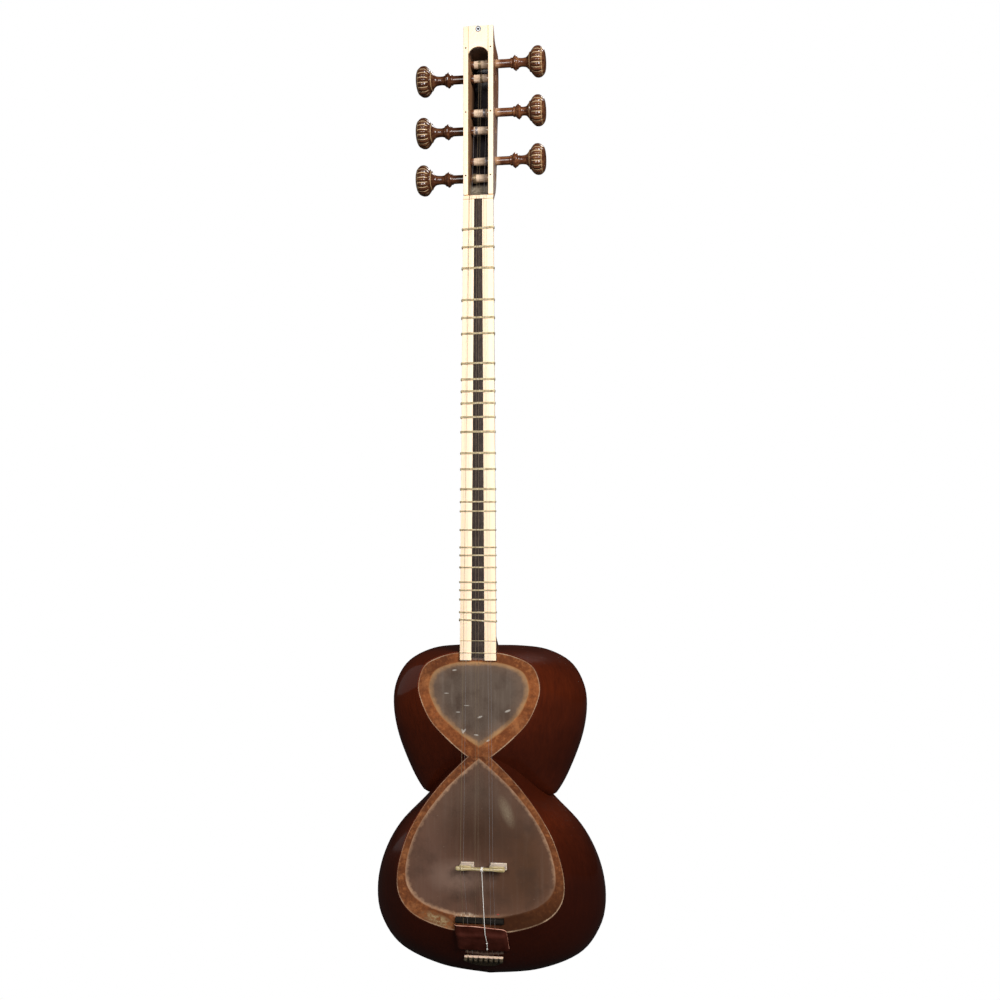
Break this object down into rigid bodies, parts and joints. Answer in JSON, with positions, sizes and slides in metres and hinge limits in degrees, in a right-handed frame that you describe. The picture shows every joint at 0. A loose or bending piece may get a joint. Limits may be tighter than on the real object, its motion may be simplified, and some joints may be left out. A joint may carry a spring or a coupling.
{
  "type": "persian tar",
  "caption": "Long-necked plucked lute with a carved double bowl, two skin faces, tied frets that slide and friction pegs that turn.",
  "frame": {"origin": "centre of the small flat at the tail, under the widest part of the large bowl, on the seam of the two halves", "axes": "+Z from the tail towards the pegs, -Y out of the playing face, +X to the right as the playing face is seen"},
  "size_m": [0.236, 0.1693, 0.9556],
  "materials": {
    "mulberry": "deep red-brown lacquer, glossy",
    "walnut": "brown varnish",
    "bone": "polished bone",
    "dark_wood": "oiled dark wood",
    "horn": "polished yellow horn",
    "skin": "thin stretched lambskin, slightly translucent",
    "gut": "twisted gut",
    "peg_wood": "turned and varnished wood",
    "leather": "smooth red-brown leather",
    "steel": "drawn steel",
    "brass": "drawn brass"
  },
  "bodies": {
    "frame": {"bowl_left_half": "mulberry", "bowl_right_half": "mulberry", "large_skin": "skin", "small_skin": "skin", "neck": "walnut", "bone_strip_left": "bone", "bone_strip_right": "bone", "dark_strip": "dark_wood", "pegbox": "walnut", "pegbox_facing": "bone", "nut": "bone", "pegbox_screw": "steel", "tail_saddle": "dark_wood", "string_holder": "bone", "wrist_pad": "leather", "string_1": "brass", "string_2": "steel", "string_3": "brass", "string_4": "brass", "string_5": "steel", "string_6": "steel"},
    "peg_right_1": {"peg_right_1": "peg_wood", "winding_6": "steel"},
    "peg_right_2": {"peg_right_2": "peg_wood", "winding_5": "steel"},
    "peg_right_3": {"peg_right_3": "peg_wood", "winding_4": "brass"},
    "peg_left_1": {"peg_left_1": "peg_wood", "winding_1": "brass"},
    "peg_left_2": {"peg_left_2": "peg_wood", "winding_2": "steel"},
    "peg_left_3": {"peg_left_3": "peg_wood", "winding_3": "brass"},
    "fret_01": {"fret_01": "gut"},
    "fret_02": {"fret_02": "gut"},
    "fret_03": {"fret_03": "gut"},
    "fret_04": {"fret_04": "gut"},
    "fret_05": {"fret_05": "gut"},
    "fret_06": {"fret_06": "gut"},
    "fret_07": {"fret_07": "gut"},
    "fret_08": {"fret_08": "gut"},
    "fret_09": {"fret_09": "gut"},
    "fret_10": {"fret_10": "gut"},
    "fret_11": {"fret_11": "gut"},
    "fret_12": {"fret_12": "gut"},
    "fret_13": {"fret_13": "gut"},
    "fret_14": {"fret_14": "gut"},
    "fret_15": {"fret_15": "gut"},
    "fret_16": {"fret_16": "gut"},
    "fret_17": {"fret_17": "gut"},
    "fret_18": {"fret_18": "gut"},
    "fret_19": {"fret_19": "gut"},
    "fret_20": {"fret_20": "gut"},
    "fret_21": {"fret_21": "gut"},
    "fret_22": {"fret_22": "gut"},
    "fret_23": {"fret_23": "gut"},
    "fret_24": {"fret_24": "gut"},
    "fret_25": {"fret_25": "gut"},
    "fret_26": {"fret_26": "gut"},
    "bridge": {"bridge": "horn"}
  },
  "joints": [
    {"name": "peg_right_1_turn", "type": "hinge", "parent": "frame", "child": "peg_right_1", "pos_m": [0, -0.03198, 0.82267], "axis": [1, 0, 0], "continuous": true},
    {"name": "peg_right_2_turn", "type": "hinge", "parent": "frame", "child": "peg_right_2", "pos_m": [0, -0.03018, 0.8717], "axis": [1, 0, 0], "continuous": true},
    {"name": "peg_right_3_turn", "type": "hinge", "parent": "frame", "child": "peg_right_3", "pos_m": [0, -0.02837, 0.92108], "axis": [1, 0, 0], "continuous": true},
    {"name": "peg_left_1_turn", "type": "hinge", "parent": "frame", "child": "peg_left_1", "pos_m": [0, -0.0326, 0.8058], "axis": [1, 0, 0], "continuous": true},
    {"name": "peg_left_2_turn", "type": "hinge", "parent": "frame", "child": "peg_left_2", "pos_m": [0, -0.03082, 0.85414], "axis": [1, 0, 0], "continuous": true},
    {"name": "peg_left_3_turn", "type": "hinge", "parent": "frame", "child": "peg_left_3", "pos_m": [0, -0.02889, 0.907], "axis": [1, 0, 0], "continuous": true},
    {"name": "fret_01_slide", "type": "slide", "parent": "frame", "child": "fret_01", "axis": [0, 0.0366, 0.9993], "range_m": [-0.002, 0.002]},
    {"name": "fret_02_slide", "type": "slide", "parent": "frame", "child": "fret_02", "axis": [0, 0.0366, 0.9993], "range_m": [-0.002, 0.002]},
    {"name": "fret_03_slide", "type": "slide", "parent": "frame", "child": "fret_03", "axis": [0, 0.0366, 0.9993], "range_m": [-0.002, 0.002]},
    {"name": "fret_04_slide", "type": "slide", "parent": "frame", "child": "fret_04", "axis": [0, 0.0366, 0.9993], "range_m": [-0.002, 0.002]},
    {"name": "fret_05_slide", "type": "slide", "parent": "frame", "child": "fret_05", "axis": [0, 0.0366, 0.9993], "range_m": [-0.002, 0.002]},
    {"name": "fret_06_slide", "type": "slide", "parent": "frame", "child": "fret_06", "axis": [0, 0.0366, 0.9993], "range_m": [-0.002, 0.002]},
    {"name": "fret_07_slide", "type": "slide", "parent": "frame", "child": "fret_07", "axis": [0, 0.0366, 0.9993], "range_m": [-0.002, 0.002]},
    {"name": "fret_08_slide", "type": "slide", "parent": "frame", "child": "fret_08", "axis": [0, 0.0366, 0.9993], "range_m": [-0.002, 0.002]},
    {"name": "fret_09_slide", "type": "slide", "parent": "frame", "child": "fret_09", "axis": [0, 0.0366, 0.9993], "range_m": [-0.002, 0.002]},
    {"name": "fret_10_slide", "type": "slide", "parent": "frame", "child": "fret_10", "axis": [0, 0.0366, 0.9993], "range_m": [-0.002, 0.002]},
    {"name": "fret_11_slide", "type": "slide", "parent": "frame", "child": "fret_11", "axis": [0, 0.0366, 0.9993], "range_m": [-0.002, 0.002]},
    {"name": "fret_12_slide", "type": "slide", "parent": "frame", "child": "fret_12", "axis": [0, 0.0366, 0.9993], "range_m": [-0.002, 0.002]},
    {"name": "fret_13_slide", "type": "slide", "parent": "frame", "child": "fret_13", "axis": [0, 0.0366, 0.9993], "range_m": [-0.002, 0.002]},
    {"name": "fret_14_slide", "type": "slide", "parent": "frame", "child": "fret_14", "axis": [0, 0.0366, 0.9993], "range_m": [-0.002, 0.002]},
    {"name": "fret_15_slide", "type": "slide", "parent": "frame", "child": "fret_15", "axis": [0, 0.0366, 0.9993], "range_m": [-0.002, 0.002]},
    {"name": "fret_16_slide", "type": "slide", "parent": "frame", "child": "fret_16", "axis": [0, 0.0366, 0.9993], "range_m": [-0.002, 0.002]},
    {"name": "fret_17_slide", "type": "slide", "parent": "frame", "child": "fret_17", "axis": [0, 0.0366, 0.9993], "range_m": [-0.002, 0.002]},
    {"name": "fret_18_slide", "type": "slide", "parent": "frame", "child": "fret_18", "axis": [0, 0.0366, 0.9993], "range_m": [-0.002, 0.002]},
    {"name": "fret_19_slide", "type": "slide", "parent": "frame", "child": "fret_19", "axis": [0, 0.0366, 0.9993], "range_m": [-0.002, 0.002]},
    {"name": "fret_20_slide", "type": "slide", "parent": "frame", "child": "fret_20", "axis": [0, 0.0366, 0.9993], "range_m": [-0.002, 0.002]},
    {"name": "fret_21_slide", "type": "slide", "parent": "frame", "child": "fret_21", "axis": [0, 0.0366, 0.9993], "range_m": [-0.002, 0.002]},
    {"name": "fret_22_slide", "type": "slide", "parent": "frame", "child": "fret_22", "axis": [0, 0.0366, 0.9993], "range_m": [-0.002, 0.002]},
    {"name": "fret_23_slide", "type": "slide", "parent": "frame", "child": "fret_23", "axis": [0, 0.0366, 0.9993], "range_m": [-0.002, 0.002]},
    {"name": "fret_24_slide", "type": "slide", "parent": "frame", "child": "fret_24", "axis": [0, 0.0366, 0.9993], "range_m": [-0.002, 0.002]},
    {"name": "fret_25_slide", "type": "slide", "parent": "frame", "child": "fret_25", "axis": [0, 0.0366, 0.9993], "range_m": [-0.002, 0.002]},
    {"name": "fret_26_slide", "type": "slide", "parent": "frame", "child": "fret_26", "axis": [0, 0.0366, 0.9993], "range_m": [-0.002, 0.002]},
    {"name": "bridge_slide", "type": "slide", "parent": "frame", "child": "bridge", "axis": [0, 0, 1], "range_m": [-0.0015, 0.0015]}
  ]
}
